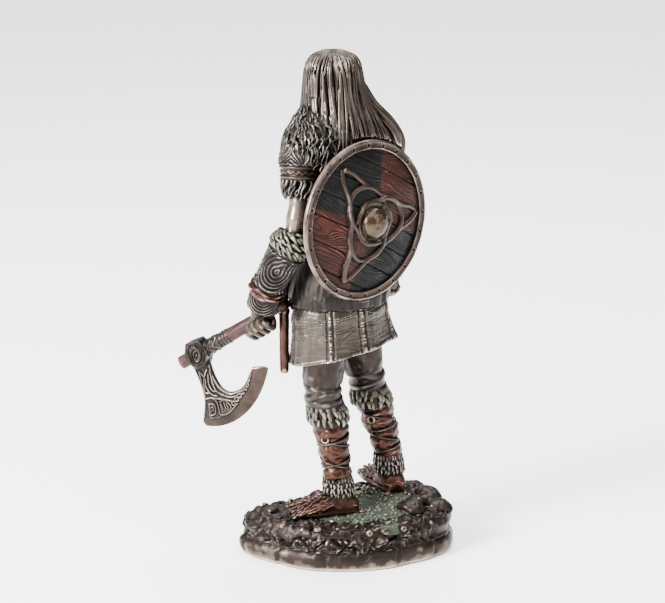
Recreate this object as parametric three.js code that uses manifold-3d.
// A viking warrior figurine: a long-haired fighter stands on a rock with an axe in the left
// fist and a round shield slung on the back. Four castings: plinth, warrior, shield and axe.
// Millimetres, +Z up. The origin is the middle of the plinth's underside. The figure faces -Y,
// so its left hand is on the +X side.
import * as THREE from 'three';
import { mergeVertices } from 'three/addons/utils/BufferGeometryUtils.js';
import Module from 'manifold-3d';

const wasm = await Module();
wasm.setup();

const TURN = Math.PI * 2;
const LIMB_COLUMNS = 8;
const GAP = 0.3;

// Plinth: corners of the rock's foot in plan, and the heights of its parts
const ROCK_CORNERS = [
  [38.5, -33.5], [43, -22], [39.5, -3], [34.5, 11], [23.8, 23], [8, 32.5], [-14, 36.5],
  [-31, 35], [-43, 25], [-49, 9], [-52.5, -7.5], [-43, -19], [-26, -26.5], [-3, -32], [19, -33],
];
const ROCK_HEIGHT = 18;
const ROCK_COLUMNS = 26;
const WALL_BLOCKS = 11;
const MOUND = { x: -27, y: -2, reach: 17, rise: 4.6 };
const LEFT_SOLE = 18.9;
const RIGHT_SOLE = 22.9;

// Legs: the centre line from the instep to the hip, x, y, z
const LEFT_LEG = [
  [5.6, 0, 21], [6.2, -0.4, 30], [7.3, -1.1, 41], [9.2, -1.9, 56], [10.9, -3.1, 68],
  [12.6, -4.7, 80], [10, -4.5, 108],
];
const RIGHT_LEG = [
  [-26.8, -1.4, 25], [-26.6, -1.6, 34], [-26, -2.2, 42], [-23.6, -3.2, 53], [-20.8, -5.6, 64],
  [-17, -6.8, 78], [-9.5, -7, 108],
];
// What is on a leg on the way up: share of its height, half width and kind
const LEG_DRESS = [
  [0, 6.3, 'plain'], [0.09, 7.4, 'fur'], [0.165, 7.4, 'fur'],
  [0.2, 6.4, 'laced'], [0.26, 6.7, 'laced'], [0.32, 7.1, 'laced'], [0.38, 7.6, 'laced'],
  [0.43, 8, 'plain'], [0.47, 7.9, 'plain'], [0.485, 9.6, 'fur'], [0.56, 9.8, 'fur'],
  [0.6, 8.3, 'plain'], [0.64, 9, 'plain'], [0.68, 8.1, 'plain'], [0.74, 9.5, 'plain'],
  [1, 11, 'plain'],
];
const LEFT_FOOT = { heading: -32, length: 31, sole: LEFT_SOLE };
const RIGHT_FOOT = { heading: -107, length: 31, sole: RIGHT_SOLE };

// Tunic: centre and half axes by height, and the sloping plane of the hem
const HEM = { level: 95.5, slopeX: -0.12, slopeY: 0.2, halfX: 26, halfY: 21.5 };
const HIPS = [1.2, -5.8, 112, 23.6, 19.2];
const TUNIC = [
  [1.2, -5.8, 115.8, 22.8, 18.4],
  [1.2, -5.8, 116.4, 24.2, 19.8],
  [1.2, -5.8, 120.2, 24.2, 19.8],
  [1.2, -5.8, 121.4, 24.8, 20.4],
  [1.2, -5.8, 128.5, 24, 19.6],
  [1.2, -5.5, 150, 19, 14.6],
  [1.5, -5.5, 168, 21, 15.4],
  [1.5, -5.5, 194, 19, 12.5],
];
const BUCKLE = { x: 1, y: -25.4, z: 118.3, radius: 3.6, depth: 3 };
// Knife at the left hip: x, y, z and half width from the tip of the sheath to the pommel
const SHEATH = [[21.6, -19.4, 85.6, 1.4], [21.6, -19.4, 87.4, 2.6], [21.8, -20, 104, 2.7],
  [22, -21, 118, 2.9]];
const HILT = [[22, -21, 117, 3.4], [22, -21, 119.4, 3.4], [22, -21, 119.6, 2],
  [21.2, -20.4, 132, 2], [21.1, -20.3, 132.4, 2.8], [21, -20.2, 134.8, 2.2]];
// Shield strap: its middle, half axes, tilt in degrees and half width
const STRAP = { x: 1.4, y: -5.4, z: 162, halfX: 19.6, halfY: 15.4, tilt: 32, half: 3 };

// Fur mantle over the shoulders
const MANTLE = [
  [1.5, -5.5, 181, 24, 14],
  [1.5, -5.5, 184, 31, 17],
  [1.5, -5.5, 190, 32.4, 17.6],
  [1.6, -5.5, 196, 31.2, 17.6],
  [1.8, -5.6, 201.5, 28, 16.6],
  [2.2, -6.4, 208, 20, 14.6],
  [2.6, -7, 211, 12, 11],
];

// Head: its axis, the way it looks, and its widths by height
const HEAD = { x: 3, y: -8.3, heading: -114 };
const FACE = [
  [206, 6.5, 3.6, 5],
  [208, 10, 6.6, 7],
  [212, 11, 8.4, 9],
  [217, 10.6, 9.5, 11],
  [220, 10, 9.6, 11.5],
  [222.4, 11.5, 9.9, 12],
  [227, 11, 9.7, 12],
  [233, 5.6, 5.4, 6],
];
// Hair: height, then its reach behind, to the left, in front and to the right
const HAIR = [
  [185, 20, 5, 2, 21],
  [190, 22.2, 8, 2, 29],
  [197, 22.2, 10.8, 3, 29],
  [204, 20.4, 12.2, 4.5, 23],
  [211, 17, 12.6, 7.5, 17.4],
  [218, 14.6, 12.6, 9.4, 14],
  [226, 13.2, 12.2, 10.6, 12.2],
  [231, 11.4, 10.8, 10.2, 10.8],
  [234, 7.6, 7.2, 6.8, 7.2],
  [235, 3.4, 3.2, 3, 3.2],
];
const HAIR_COLUMNS = 20;
// Loose locks: angle about the head's axis in degrees, reach, height and half width
const LOCKS = [
  [[104, 10.5, 229, 2.2], [108, 11.2, 218, 2.8], [112, 12.6, 207, 2.6], [124, 17, 197, 2.2],
    [132, 20, 187, 0.8]],
  [[-108, 10.2, 228, 2.2], [-112, 11, 217, 2.8], [-118, 13, 206, 2.6], [-128, 18, 196, 2],
    [-134, 20, 187, 0.8]],
  [[-84, 12, 220, 2.4], [-86, 18, 209, 2.8], [-84, 26, 200, 3], [-82, 31, 192, 2.4],
    [-80, 31, 184, 0.9]],
  [[-66, 13, 216, 2.4], [-64, 20, 207, 2.8], [-62, 27, 199, 2.8], [-60, 30, 191, 1.6]],
  [[52, 12.6, 216, 2.2], [46, 15, 207, 2.4], [36, 19, 198, 2.2], [26, 20, 190, 1]],
];
// Nose: reach, height and half width; brow: angle, reach, height, half width from the middle out;
// beard: height, half width and reach in front
const NOSE = [[9.6, 222.4, 0.9], [11.6, 218.4, 1.4], [12.6, 215.4, 2.1], [10.6, 213.6, 1.2]];
const BROW = [[0, 10.8, 222.2, 0.9], [20, 10.6, 222.6, 1.3], [40, 9.4, 221.8, 0.8]];
const BEARD = [[215, 9.4, 10.8], [211, 9, 12.4], [204, 6.8, 13.2], [197, 4.4, 12.8], [191, 1.6, 11.8]];
const NECK = [[2.4, -7, 190, 10], [3, -8, 212, 8.6]];

// Arms: the centre line from the wrist to the shoulder, x, y, z
const LEFT_ARM = [
  [35.6, -20.8, 118.5], [36.2, -15.8, 128.5], [34.8, -9.4, 140.5], [32.4, -4.3, 150.5],
  [31, -3.3, 156], [28.6, -3.2, 166], [26.6, -4, 180], [25, -4.8, 189], [24.2, -5.2, 195],
];
const RIGHT_ARM = [
  [-36.9, -13.9, 124.5], [-35.8, -5.8, 140.5], [-33.6, -2.3, 150.5], [-31.8, -1.8, 156],
  [-28, -3.4, 166], [-24.6, -4.6, 180], [-22.6, -5.2, 189], [-21.8, -5.4, 195],
];
// What is on an arm on the way up: height, half width and kind
const ARM_DRESS = [
  [124.5, 5.6, 'plain'], [125.2, 6.8, 'plain'], [132.6, 7, 'plain'],
  [133.2, 8.2, 'plain'], [136, 8.2, 'plain'], [136.6, 7.3, 'plain'], [146, 8, 'plain'],
  [147.5, 9.3, 'fur'], [153, 9.3, 'fur'], [156.6, 4.4, 'plain'], [167.4, 4.6, 'plain'],
  [168.6, 6.8, 'fur'], [175, 9.2, 'fur'], [176, 10.1, 'plain'], [178, 9.6, 'plain'],
  [183.6, 10.2, 'plain'], [190, 9.2, 'plain'], [195, 7.4, 'plain'],
];
// How much lower the left wrist and its strap sit, below the height where the forearm starts
const WRIST_DROP = { from: 140, by: 6 };

// Shield: a round board, domed from the rim up to the boss; heights run back from its flat side
const SHIELD = { x: 5.5, z: 161, back: 13, radius: 36.6, rim: 4.4, rimHeight: 4.2, rivets: 20 };
const BOARDS = { edge: 3.2, dome: 5.6, width: 13.4, slant: 27, seamWide: 1.2, seamDeep: 0.6 };
const BOSS = { flange: 9.6, lip: 1, foot: 7.2, height: 4.8 };
const KNOT = { ring: 15.4, swell: 2.6, half: 1.9, deep: 1.8, proud: 1.2, weave: 0.35 };
// Half of one of the knot's three strands: degrees from its middle, and reach
const KNOT_ARC = [[0, 10], [49, 10.2], [77, 14.1], [96, 16.3], [108, 21], [120, 29.3]];

// Axe: the haft's two ends and the blade's outline, along the haft and down from it
const AXE_POMMEL = new THREE.Vector3(28.6, -15.0, 119.7);
const AXE_EYE = new THREE.Vector3(47.3, -53.4, 91.9);
const AXE_GRIP = 13;
// The head's own way through the eye, a little steeper than the haft
const HEAD_WAY = new THREE.Vector3(21.9, -41.4, -36.4);
// Hands: the way the palm's back faces, and where the empty right hand closes
const LEFT_PALM = new THREE.Vector3(0.9, 0.2, -0.1);
const RIGHT_PALM = new THREE.Vector3(-0.85, 0, -0.2);
const RIGHT_GRIP = new THREE.Vector3(-36.6, -17, 117.6);
const RIGHT_WAY = new THREE.Vector3(0.15, -0.95, -0.28);
const POMMEL_RADIUS = 3.3;
const HAFT_RADIUS = 3.1;
const HAFT_STUB = 10.5;
const BLADE_TOE = [17.4, 28.5];
const BLADE_HORN = [-26.4, 23];
const BLADE_BELLY = 37.6;

const MATERIALS = {
  base: { color: 0x5d4a3a, roughness: 0.5, metalness: 0.6 },
  warrior: { color: 0x8a7460, roughness: 0.35, metalness: 0.8 },
  shield: { color: 0x6e4638, roughness: 0.45, metalness: 0.6 },
  axe: { color: 0x8c7b68, roughness: 0.35, metalness: 0.8 },
};

// A repeatable number between -1 and 1 for two whole numbers
function rough(a, b) {
  const wave = Math.sin(a * 12.9898 + b * 78.233) * 43758.5453;
  return 2 * (wave - Math.floor(wave)) - 1;
}

function solid(geometry) {
  const bare = geometry.index ? geometry.toNonIndexed() : geometry.clone();
  bare.deleteAttribute('normal');
  bare.deleteAttribute('uv');
  const merged = mergeVertices(bare, 1e-4);
  const vertProperties = new Float32Array(merged.attributes.position.array);
  const triVerts = new Uint32Array(merged.index.array);
  return new wasm.Manifold(new wasm.Mesh({ numProp: 3, vertProperties, triVerts }));
}

function join(pieces) {
  return pieces.reduce((sum, piece) => sum.add(piece));
}

function meshOf(name, piece) {
  const { vertProperties, triVerts } = piece.getMesh();
  const geometry = new THREE.BufferGeometry();
  geometry.setAttribute('position', new THREE.BufferAttribute(vertProperties, 3));
  geometry.setIndex(new THREE.BufferAttribute(triVerts, 1));
  geometry.computeVertexNormals();
  const mesh = new THREE.Mesh(geometry, new THREE.MeshStandardMaterial(MATERIALS[name]));
  mesh.name = name;
  return mesh;
}

// Skin over rings of points, each counter-clockwise about the way they follow: a loop joins its
// last ring to the first, and any other row of rings is closed by a fan at each end
function skin(rings, loop = false) {
  const columns = rings[0].length;
  const count = rings.length;
  const points = rings.flat();
  const index = [];
  for (let j = 0; j < columns; j += 1) {
    const next = (j + 1) % columns;
    for (let i = 0; i < (loop ? count : count - 1); i += 1) {
      const low = i * columns;
      const high = ((i + 1) % count) * columns;
      index.push(low + j, low + next, high + next, low + j, high + next, high + j);
    }
    if (!loop) {
      const last = (count - 1) * columns;
      index.push(count * columns, next, j, count * columns + 1, last + j, last + next);
    }
  }
  if (!loop) {
    [rings[0], rings.at(-1)].forEach((ring) => {
      const sum = ring.reduce((total, point) => total.add(point), new THREE.Vector3());
      points.push(sum.divideScalar(columns));
    });
  }
  const geometry = new THREE.BufferGeometry().setFromPoints(points);
  geometry.setIndex(index);
  return solid(geometry);
}

// Level rings: rows of x, y, z and half axes; shape gives a factor for column and row
function stack(rows, columns, shape = () => 1, lift = () => 0) {
  return skin(rows.map(([x, y, z, halfX, halfY = halfX], i) => {
    const ring = [];
    for (let j = 0; j < columns; j += 1) {
      const angle = (j / columns) * TURN;
      const factor = shape(j, i);
      const px = x + halfX * factor * Math.cos(angle);
      const py = y + halfY * factor * Math.sin(angle);
      ring.push(new THREE.Vector3(px, py, z + lift(px, py, i)));
    }
    return ring;
  }));
}

// Rings square to a path: rows of x, y, z, half width and half depth
function limb(rows, columns, shape = () => 1) {
  const centres = rows.map(([x, y, z]) => new THREE.Vector3(x, y, z));
  return skin(rows.map(([, , , halfX, halfY = halfX], i) => {
    const from = centres[Math.max(i - 1, 0)];
    const to = centres[Math.min(i + 1, rows.length - 1)];
    const along = to.clone().sub(from).normalize();
    const side = new THREE.Vector3(1, 0, 0).addScaledVector(along, -along.x).normalize();
    const front = along.clone().cross(side);
    const ring = [];
    for (let j = 0; j < columns; j += 1) {
      const angle = (j / columns) * TURN;
      const factor = shape(j, i);
      ring.push(centres[i].clone()
        .addScaledVector(side, halfX * factor * Math.cos(angle))
        .addScaledVector(front, halfY * factor * Math.sin(angle)));
    }
    return ring;
  }));
}

function between(a, b, t) {
  return a.map((value, n) => value + (b[n] - value) * t);
}

function pointRow(point, ...sizes) {
  return [point.x, point.y, point.z, ...sizes];
}

// Point of a centre line at a height
function centreAt(path, z) {
  const found = path.findIndex((point) => point[2] > z);
  const i = found < 0 ? path.length - 2 : Math.max(found - 1, 0);
  const share = (z - path[i][2]) / (path[i + 1][2] - path[i][2]);
  return between(path[i], path[i + 1], share);
}

// A limb dressed on its way up: locks of fur stand out in turn, laces cross over leather
function dressedLimb(path, dress, columns) {
  const rows = dress.map(([z, half]) => [...centreAt(path, z), half]);
  return limb(rows, columns, (j, i) => {
    const kind = dress[i][2];
    if (kind === 'fur') {
      return j % 2 ? 1.07 : 0.94;
    }
    const crossed = (i + j) % 5 === 0 || (i - j + columns) % 5 === 0;
    return kind === 'laced' && crossed ? 1.08 : 0.99;
  });
}

// Ground level on top of the rock
function ground(x, y) {
  const away = Math.hypot(x - MOUND.x, y - MOUND.y) / MOUND.reach;
  const mound = MOUND.rise * Math.exp(-away * away);
  return ROCK_HEIGHT + 1.2 + mound;
}

function rockBody() {
  const curve = new THREE.CatmullRomCurve3(
    ROCK_CORNERS.map(([x, y]) => new THREE.Vector3(x, y, 0)), true, 'catmullrom', 0.4);
  const foot = curve.getSpacedPoints(ROCK_COLUMNS).slice(0, ROCK_COLUMNS);
  const wall = [[0, 0.985], [2, 1.005], [6.5, 0.99], [8.5, 0.955], [15, 0.97]];
  const rings = wall.map(([z, scale], i) => foot.map((point, j) => {
    const jut = i < 2 ? 0 : 0.022 * rough(j, i);
    return new THREE.Vector3(point.x * (scale + jut), point.y * (scale + jut), z);
  }));
  [0.88, 0.6, 0.25].forEach((scale, i) => {
    rings.push(foot.map((point, j) => {
      const x = point.x * scale;
      const y = point.y * scale;
      return new THREE.Vector3(x, y, ground(x, y) - (i ? 0 : 1) + 0.3 * rough(j, i + 9));
    }));
  });
  return skin(rings);
}

function boulder(x, y, z, size, seed) {
  const geometry = new THREE.IcosahedronGeometry(1, 0);
  const merged = mergeVertices(geometry.deleteAttribute('normal').deleteAttribute('uv'), 1e-4);
  const position = merged.attributes.position;
  for (let i = 0; i < position.count; i += 1) {
    const swell = size * (1 + 0.2 * rough(i, seed));
    position.setXYZ(i, position.getX(i) * swell, position.getY(i) * swell,
      position.getZ(i) * swell * 0.75);
  }
  merged.rotateZ(seed).translate(x, y, z);
  return solid(merged);
}

// Blocks of stone round the wall, and the larger boulders behind the right foot
function boulders() {
  const curve = new THREE.CatmullRomCurve3(
    ROCK_CORNERS.map(([x, y]) => new THREE.Vector3(x, y, 0)), true, 'catmullrom', 0.4);
  const blocks = curve.getSpacedPoints(WALL_BLOCKS).slice(0, WALL_BLOCKS).map((point, i) => {
    const inward = 0.885 + 0.03 * rough(i, 3);
    const size = 7 + 1.2 * rough(i, 5);
    return boulder(point.x * inward, point.y * inward, 12.5 + 1.5 * rough(i, 7), size, i);
  });
  const big = [
    [-19.5, 21, 20.5, 7], [-33, 24, 18, 7.5], [-39, 11, 19, 7.5], [-44, -3, 18, 6.5],
    [28, -25, 17.5, 5.5],
  ];
  return join([...blocks, ...big.map(([x, y, z, size], i) => boulder(x, y, z, size, 40 + i))]);
}

// Footprint of a boot on the ground: heel to toe along its heading
function footRows({ heading, length, sole }, ankle) {
  const angle = (heading * Math.PI) / 180;
  const way = new THREE.Vector3(Math.cos(angle), Math.sin(angle), 0);
  const heel = new THREE.Vector3(ankle[0], ankle[1], sole).addScaledVector(way, -0.26 * length);
  const outline = [
    [0, 3.2, 6], [0.08, 5.4, 9], [0.26, 6.6, 11.5], [0.45, 6.8, 9.6],
    [0.66, 7.4, 7], [0.9, 6.2, 5], [1, 2.8, 2.8],
  ];
  return { way, rows: outline.map(([t, wide, tall]) => {
    const centre = heel.clone().addScaledVector(way, t * length);
    return { centre, wide, tall };
  }) };
}

function boot(foot, ankle) {
  const { way, rows } = footRows(foot, ankle);
  const side = new THREE.Vector3(0, 0, 1).cross(way);
  const columns = 8;
  return skin(rows.map(({ centre, wide, tall }) => {
    const ring = [];
    for (let j = 0; j < columns; j += 1) {
      const angle = (j / columns) * TURN;
      const rise = Math.max(Math.sin(angle) * tall, -0.02 * tall);
      ring.push(centre.clone().addScaledVector(side, wide * Math.cos(angle))
        .add(new THREE.Vector3(0, 0, rise + (rise > 0 ? 0.6 : 0))));
    }
    return ring;
  }));
}

// Room for a boot in the rock, a gap wider than the boot all round
function bootRoom(foot, ankle) {
  const { way, rows } = footRows(foot, ankle);
  const side = new THREE.Vector3(0, 0, 1).cross(way);
  const ends = rows.map(({ centre, wide }, i) => {
    const push = i === 0 ? -GAP : 0;
    const pull = i === rows.length - 1 ? GAP : 0;
    return { centre: centre.clone().addScaledVector(way, push + pull), wide: wide + GAP };
  });
  const leftEdge = ends.map(({ centre, wide }) => centre.clone().addScaledVector(side, wide));
  const rightEdge = ends.map(({ centre, wide }) => centre.clone().addScaledVector(side, -wide));
  const outline = [...rightEdge, ...leftEdge.reverse()];
  return skin([-GAP, 12].map((rise) => outline.map((point) => (
    point.clone().add(new THREE.Vector3(0, 0, rise))))));
}

// A leg: boot, fur at the ankle, leather laced crosswise, fur below the knee, trousers
function leg(path, foot) {
  const low = path[0][2];
  const rise = path.at(-1)[2] - low;
  const dress = LEG_DRESS.map(([share, half, kind]) => [low + share * rise, half, kind]);
  return join([boot(foot, path[0]), dressedLimb(path, dress, LIMB_COLUMNS)]);
}

// Tunic from hem to shoulders: pleated skirt, raised border, belt, and the corner that swings out
function tunic() {
  const columns = 18;
  const edge = [0, -5.5, HEM.level + 0.9, HEM.halfX, HEM.halfY];
  const border = between(edge, HIPS, 0.45);
  const above = [...border.slice(0, 2), border[2] + 0.6, border[3] - 0.9, border[4] - 0.9];
  const rows = [
    [0, -5.5, HEM.level + 4, HEM.halfX - 3.4, HEM.halfY - 3.2],
    [0, -5.5, HEM.level, HEM.halfX - 1, HEM.halfY - 1],
    edge, border, above, HIPS,
    [...HIPS.slice(0, 2), HIPS[2] + 1, HIPS[3] - 0.8, HIPS[4] - 0.8],
    ...TUNIC,
  ];
  const share = [1, 1, 1, 0.9, 0.85, 0.4, 0.3];
  const flare = (j, i) => {
    const angle = (j / columns) * TURN;
    const pleat = 0.025 * Math.cos(8 * angle + 0.6);
    const corner = 0.12 * Math.exp(-(((angle - 2.45) / 0.22) ** 2));
    return 1 + (pleat + corner) * (share[i] ?? 0);
  };
  const slope = (x, y, i) => (HEM.slopeX * x + HEM.slopeY * y) * (share[i] ?? 0);
  const disc = new THREE.CylinderGeometry(BUCKLE.radius, BUCKLE.radius, BUCKLE.depth, 8);
  const buckle = solid(disc.translate(BUCKLE.x, BUCKLE.y, BUCKLE.z));
  return join([stack(rows, columns, flare, slope), buckle, scabbard(), shieldStrap()]);
}

// A long knife in its sheath hangs at the left hip
function scabbard() {
  return join([limb(SHEATH, 6), limb(HILT, 6)]);
}

// The strap that carries the shield runs from the left shoulder to the right hip and back
function shieldStrap() {
  const rise = Math.tan((STRAP.tilt * Math.PI) / 180);
  const rows = [[-1.07, -0.4], [-1, 1], [1, 1], [1.07, -0.4]];
  const columns = 12;
  return skin(rows.map(([level, out]) => {
    const ring = [];
    for (let j = 0; j < columns; j += 1) {
      const angle = (j / columns) * TURN;
      const x = STRAP.x + (STRAP.halfX + 0.5 * out) * Math.cos(angle);
      const y = STRAP.y + (STRAP.halfY + out) * Math.sin(angle);
      ring.push(new THREE.Vector3(x, y, STRAP.z + (x - STRAP.x) * rise + level * STRAP.half));
    }
    return ring;
  }));
}

function mantle() {
  return stack(MANTLE, 18, (j, i) => 1 + ((i + j) % 2 ? 0.035 : -0.03) + 0.03 * rough(j, i));
}

// Angle about the head's axis, 0 behind it, a quarter turn at its left
function headPoint(angle, reach, z) {
  const behind = ((HEAD.heading + 180) * Math.PI) / 180;
  const way = behind - angle;
  return new THREE.Vector3(HEAD.x + reach * Math.cos(way), HEAD.y + reach * Math.sin(way), z);
}

// Reach in four directions, eased from each to the next
function reachAt(angle, sides) {
  const quarter = ((angle / TURN) * 4 + 4) % 4;
  const first = Math.floor(quarter);
  const ease = (1 - Math.cos((quarter - first) * Math.PI)) / 2;
  return sides[first] + (sides[(first + 1) % 4] - sides[first]) * ease;
}

function headRings(rows, columns, ridge) {
  return skin(rows.map(([z, ...sides], i) => {
    const ring = [];
    for (let j = 0; j < columns; j += 1) {
      const angle = -(j / columns) * TURN;
      const turned = (angle + TURN) % TURN;
      ring.push(headPoint(turned, reachAt(turned, sides) * ridge(j, i, turned), z));
    }
    return ring;
  }));
}

function hair() {
  const ridge = (j, i) => 1 + (j % 2 ? 0.035 : -0.035) * (i < 8 ? 1 : 0.3) + 0.02 * rough(j, 1);
  return headRings(HAIR, HAIR_COLUMNS, ridge);
}

// A lock of hair along points given about the head: angle, reach, height and half width
function lock(points) {
  const rows = points.map(([angle, reach, z, half]) => (
    pointRow(headPoint((angle * Math.PI) / 180, reach, z), half)));
  return limb(rows, 5);
}

function locks() {
  return join(LOCKS.map((points) => lock(points)));
}

function head() {
  const faceRows = FACE.map(([z, front, side, back]) => [z, back, side, front, side]);
  const nose = NOSE.map(([reach, z, half]) => [180, reach, z, half]);
  const brows = [-1, 1].map((side) => (
    BROW.map(([angle, reach, z, half]) => [180 + side * angle, reach, z, half])));
  return join([headRings(faceRows, 10, () => 1), stack(NECK, 10), lock(nose), ...brows.map(lock),
    beard()]);
}

function beard() {
  const columns = 10;
  return skin(BEARD.map(([z, side, front]) => {
    const ring = [];
    for (let j = 0; j < columns; j += 1) {
      const turn = -(j / columns) * TURN;
      const half = side * (j % 2 ? 1.06 : 0.94);
      const depth = front - side * 0.62 + half * 0.62 * Math.cos(turn);
      const across = headPoint(-Math.PI / 2, half * Math.sin(turn), z);
      ring.push(headPoint(Math.PI, depth, z).add(across).sub(new THREE.Vector3(HEAD.x, HEAD.y, z)));
    }
    return ring;
  }).reverse());
}

// A closed hand: four fingers side by side along the way of the grip, thumb and back of the hand
function fist(centre, way, wrist, outward) {
  const rows = [];
  for (let i = 0; i <= 8; i += 1) {
    const along = (i / 8 - 0.5) * 13.6;
    const half = i % 2 ? 6.5 : 5.6;
    const end = i === 0 || i === 8 ? 0.72 : 1;
    rows.push(pointRow(centre.clone().addScaledVector(way, along), half * end));
  }
  const fingers = limb(rows, 6);
  const heel = centre.clone().addScaledVector(outward, 1.4);
  const start = new THREE.Vector3(...wrist);
  const palm = limb([pointRow(start, 5.4), pointRow(heel.clone().lerp(start, 0.4), 6.2),
    pointRow(heel, 5.2)], 6);
  const tip = centre.clone().addScaledVector(way, 6).addScaledVector(outward, -5.4);
  const root = start.clone().lerp(centre, 0.55).addScaledVector(way, 4.6)
    .addScaledVector(outward, -1.5);
  const thumb = limb([pointRow(root, 2.4), pointRow(root.clone().lerp(tip, 0.5), 2.5),
    pointRow(tip, 1.6)], 5);
  return join([fingers, palm, thumb]);
}

// An arm's dress with the rows at the wrist lowered
function armDress(drop) {
  return ARM_DRESS.map(([z, half, kind]) => [z < WRIST_DROP.from ? z - drop : z, half, kind]);
}

function haftWay() {
  return AXE_EYE.clone().sub(AXE_POMMEL).normalize();
}

function warrior() {
  const way = haftWay();
  const grip = AXE_POMMEL.clone().addScaledVector(way, AXE_GRIP);
  grip.z -= 2.6;
  const leftFist = fist(grip, way, LEFT_ARM[0], LEFT_PALM);
  const rightFist = fist(RIGHT_GRIP, RIGHT_WAY.normalize(), RIGHT_ARM[0], RIGHT_PALM);
  const figure = join([
    leg(LEFT_LEG, LEFT_FOOT), leg(RIGHT_LEG, RIGHT_FOOT), tunic(), mantle(), head(), hair(),
    locks(), dressedLimb(LEFT_ARM, armDress(WRIST_DROP.by), LIMB_COLUMNS),
    dressedLimb(RIGHT_ARM, armDress(0), LIMB_COLUMNS),
    leftFist, rightFist,
  ]);
  return figure.subtract(haft(GAP)).subtract(pommel(GAP)).subtract(shieldRoom());
}

// Room for the shield behind the back: everything behind the shield's own rear face is cut away
function shieldRoom() {
  const depth = 30;
  const room = new THREE.CylinderGeometry(SHIELD.radius + GAP, SHIELD.radius + GAP, depth, 36);
  return solid(room.translate(SHIELD.x, SHIELD.back - GAP + depth / 2, SHIELD.z));
}

function haft(grow = 0) {
  const way = haftWay();
  const length = AXE_POMMEL.distanceTo(AXE_EYE);
  const rows = [[1, 2.3], [3, 2.5], [10, HAFT_RADIUS], [length * 0.6, HAFT_RADIUS + 0.2],
    [length + HAFT_STUB, HAFT_RADIUS]];
  return limb(rows.map(([t, half]) => (
    pointRow(AXE_POMMEL.clone().addScaledVector(way, t), half + grow))), 8);
}

function pommel(grow = 0) {
  const ball = new THREE.SphereGeometry(POMMEL_RADIUS + grow, 7, 5);
  return solid(ball.translate(...AXE_POMMEL.toArray()));
}

// Places on the axe: along the haft from the eye, down from it, and out of the blade's plane
function axeFrame() {
  const along = HEAD_WAY.clone().normalize();
  const level = new THREE.Vector3(along.x, along.y, 0).normalize();
  const out = new THREE.Vector3(-level.y, level.x, 0);
  const down = along.clone().cross(out);
  if (down.z > 0) {
    down.negate();
  }
  return new THREE.Matrix4().makeBasis(along, down, along.clone().cross(down)).setPosition(AXE_EYE);
}

function plate(shape, thickness, bevel) {
  const settings = { depth: thickness - 2 * bevel, curveSegments: 3 };
  if (bevel > 0) {
    Object.assign(settings, { bevelThickness: bevel, bevelSize: bevel * 1.6, bevelOffset: -bevel * 1.6,
      bevelSegments: 1 });
  } else {
    settings.bevelEnabled = false;
  }
  const geometry = new THREE.ExtrudeGeometry(shape, settings);
  return solid(geometry.translate(0, 0, -settings.depth / 2).applyMatrix4(axeFrame()));
}

// Bearded blade: the neck under the eye, the toe, the long curved edge, the horn and the hollow
function bladeShape(inset) {
  const shape = new THREE.Shape();
  shape.moveTo(4.6, 3);
  shape.quadraticCurveTo(6, 16.5, BLADE_TOE[0] - inset * 1.2, BLADE_TOE[1] - 2 - inset * 0.5);
  shape.lineTo(BLADE_TOE[0] - inset * 1.4, BLADE_TOE[1] + 1 - inset * 0.9);
  shape.bezierCurveTo(8, BLADE_BELLY + 0.6 - inset, -10, BLADE_BELLY + 1 - inset,
    BLADE_HORN[0] + inset * 0.4, BLADE_HORN[1] + 1.2 - inset * 0.5);
  shape.lineTo(BLADE_HORN[0] + 1 + inset * 0.4, BLADE_HORN[1] - 0.8 - inset * 0.1);
  shape.lineTo(-20, 19.4);
  shape.lineTo(-16.3, 21.8);
  shape.bezierCurveTo(-12, 24.6, -8, 25.6, -3.6, 23.4);
  shape.bezierCurveTo(1.6, 19.5, -2, 10, -5, 4);
  return shape;
}

function axe() {
  const hexagon = new THREE.Shape([[-0.4, -6.8], [-6.4, -5.2], [-8, 1.8], [-2.6, 6.6], [2.8, 5.6], [4.2, -1.6]]
    .map(([s, b]) => new THREE.Vector2(s, b)));
  const round = (from, to, half) => {
    const way = haftWay();
    const at = (t) => AXE_EYE.clone().addScaledVector(way, t);
    return limb([pointRow(at(from), half), pointRow(at(to), half)], 8);
  };
  const rings = [-13, -9.4].map((t) => round(t, t + 1.8, HAFT_RADIUS + 1));
  return join([
    haft(), pommel(), ...rings, plate(bladeShape(0), 2, 0.7), plate(bladeShape(5), 3, 0),
    plate(hexagon, 9, 0), ...knotStrands(),
  ]);
}

// Two strands that cross over and over between the cheek of the blade and its bright edge
function knotStrands() {
  const section = new THREE.Shape([[-0.5, -0.5], [0.6, 0], [-0.5, 0.5]]
    .map(([a, b]) => new THREE.Vector2(a, b)));
  return [1, -1].flatMap((sign) => [1, -1].map((face) => {
    const points = [];
    for (let i = 0; i <= 5; i += 1) {
      const t = i / 5;
      const s = 10 - 28 * t;
      const middle = BLADE_BELLY - 11.4 - 0.013 * (s + 1) ** 2 - 0.5;
      points.push(new THREE.Vector3(s, middle + sign * 1.5 * Math.sin(t * Math.PI * 2), face * 1.5));
    }
    const path = new THREE.CatmullRomCurve3(points);
    const ribbon = new THREE.ExtrudeGeometry(section, { steps: 5, extrudePath: path });
    return solid(ribbon.applyMatrix4(axeFrame()));
  }));
}

// A turned profile about the shield's axis; height runs backwards from the figure's back
function shieldTurn(profile, segments) {
  const points = profile.map(([radius, height]) => new THREE.Vector2(radius, height));
  const geometry = new THREE.LatheGeometry(points, segments);
  return solid(geometry.translate(SHIELD.x, SHIELD.back, SHIELD.z));
}

// Height of the boards' face at a distance from the shield's middle
function faceAt(reach) {
  const share = reach / (SHIELD.radius - SHIELD.rim);
  return BOARDS.edge + BOARDS.dome * (1 - share * share);
}

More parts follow.
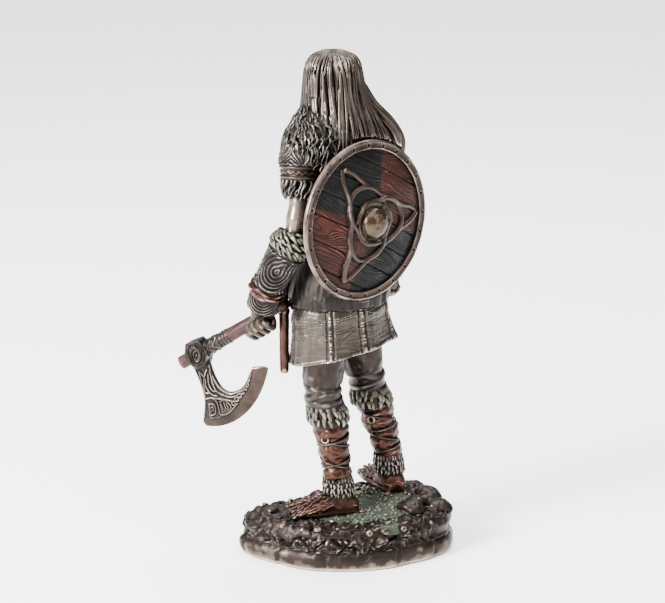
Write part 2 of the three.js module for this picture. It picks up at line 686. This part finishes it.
function shieldDisc() {
  const { radius, rim, rimHeight } = SHIELD;
  const inner = radius - rim;
  const chamfer = 0.8;
  const face = [1, 0.8, 0.5, 0].map((share) => [inner * share, faceAt(inner * share)]);
  return shieldTurn([
    [0, 0], [radius - 6, 0], [radius - 0.5, rimHeight - 1.9], [radius, rimHeight - 1.2],
    [radius - chamfer * 0.8, rimHeight], [inner + chamfer, rimHeight], ...face,
  ], 24);
}

// Boss: a riveted flange let into the boards and a dome on it
function boss() {
  const { flange, lip, foot, height } = BOSS;
  const seat = faceAt(flange);
  return shieldTurn([
    [0, seat - lip], [flange, seat - lip], [flange, seat + lip], [foot, seat + lip * 1.3],
    [foot * 0.75, seat + height * 0.8], [0, seat + height],
  ], 12);
}

// A strand over the domed face: distance and angle from the shield's middle, and its lift;
// the section's corners run across it and up
function strand(places, section, loop) {
  const spots = places.map(([reach, angle, lift]) => new THREE.Vector3(
    SHIELD.x + reach * Math.cos(angle), SHIELD.back + faceAt(reach) + lift,
    SHIELD.z + reach * Math.sin(angle)));
  const last = spots.length - 1;
  return skin(spots.map((spot, i) => {
    const from = loop ? spots.at(i - 1) : spots[Math.max(i - 1, 0)];
    const to = loop ? spots[(i + 1) % spots.length] : spots[Math.min(i + 1, last)];
    const way = to.clone().sub(from).setY(0).normalize();
    return section.map(([wide, tall]) => (
      spot.clone().add(new THREE.Vector3(way.z * wide, tall, -way.x * wide))));
  }), loop);
}

// Seams between the boards, as cutting bodies that follow the dome at a slant
function boardSeams() {
  const slant = (BOARDS.slant * Math.PI) / 180;
  const reach = SHIELD.radius - SHIELD.rim - 0.6;
  const section = [[0, -BOARDS.seamDeep], [BOARDS.seamWide, 2], [-BOARDS.seamWide, 2]];
  return join([-1.5, -0.5, 0.5, 1.5].map((place) => {
    const offset = place * BOARDS.width;
    const half = Math.sqrt(reach ** 2 - offset ** 2);
    const places = [-1, -0.6, -0.2, 0.2, 0.6, 1].map((share) => (
      [Math.hypot(half * share, offset), slant + Math.atan2(offset, half * share), 0]));
    return strand(places, section, false);
  }));
}

// Three-cornered knot round the boss: three strands that weave over and under, and a rounded ring
function shieldKnot() {
  const { ring, swell, half, deep, proud, weave } = KNOT;
  const section = [[-half, -deep], [half, -deep], [0, proud]];
  const mirrored = KNOT_ARC.slice(1).reverse().map(([degrees, reach]) => [-degrees, reach]);
  const arcs = [0, 1, 2].map((arc) => [...mirrored, ...KNOT_ARC].map(([degrees, reach]) => {
    const turn = Math.PI - (degrees * Math.PI) / 180 + (arc / 3) * TURN;
    return [reach, turn, weave * Math.sin(degrees / 18)];
  }));
  const circle = Array.from({ length: 12 }, (_, i) => {
    const turn = (i / 12) * TURN;
    return [ring - swell * Math.cos(3 * turn), turn, 0.1];
  });
  return join([...arcs.map((places) => strand(places, section, false)), strand(circle, section, true)]);
}

function rivets() {
  const list = [];
  for (let i = 0; i < SHIELD.rivets; i += 1) {
    const angle = (i / SHIELD.rivets) * TURN;
    const reach = SHIELD.radius - SHIELD.rim / 2;
    const rivet = new THREE.ConeGeometry(1.3, 2.4, 4);
    list.push(solid(rivet.translate(SHIELD.x + reach * Math.cos(angle),
      SHIELD.back + SHIELD.rimHeight, SHIELD.z + reach * Math.sin(angle))));
  }
  return join(list);
}

function shield() {
  return join([shieldDisc().subtract(boardSeams()), boss(), shieldKnot(), rivets()]);
}

function base() {
  return join([rockBody(), boulders()])
    .subtract(bootRoom(LEFT_FOOT, LEFT_LEG[0]))
    .subtract(bootRoom(RIGHT_FOOT, RIGHT_LEG[0]));
}

const statue = new THREE.Group();
statue.add(meshOf('base', base()));
statue.add(meshOf('warrior', warrior()));
statue.add(meshOf('shield', shield()));
statue.add(meshOf('axe', axe()));

export default statue;
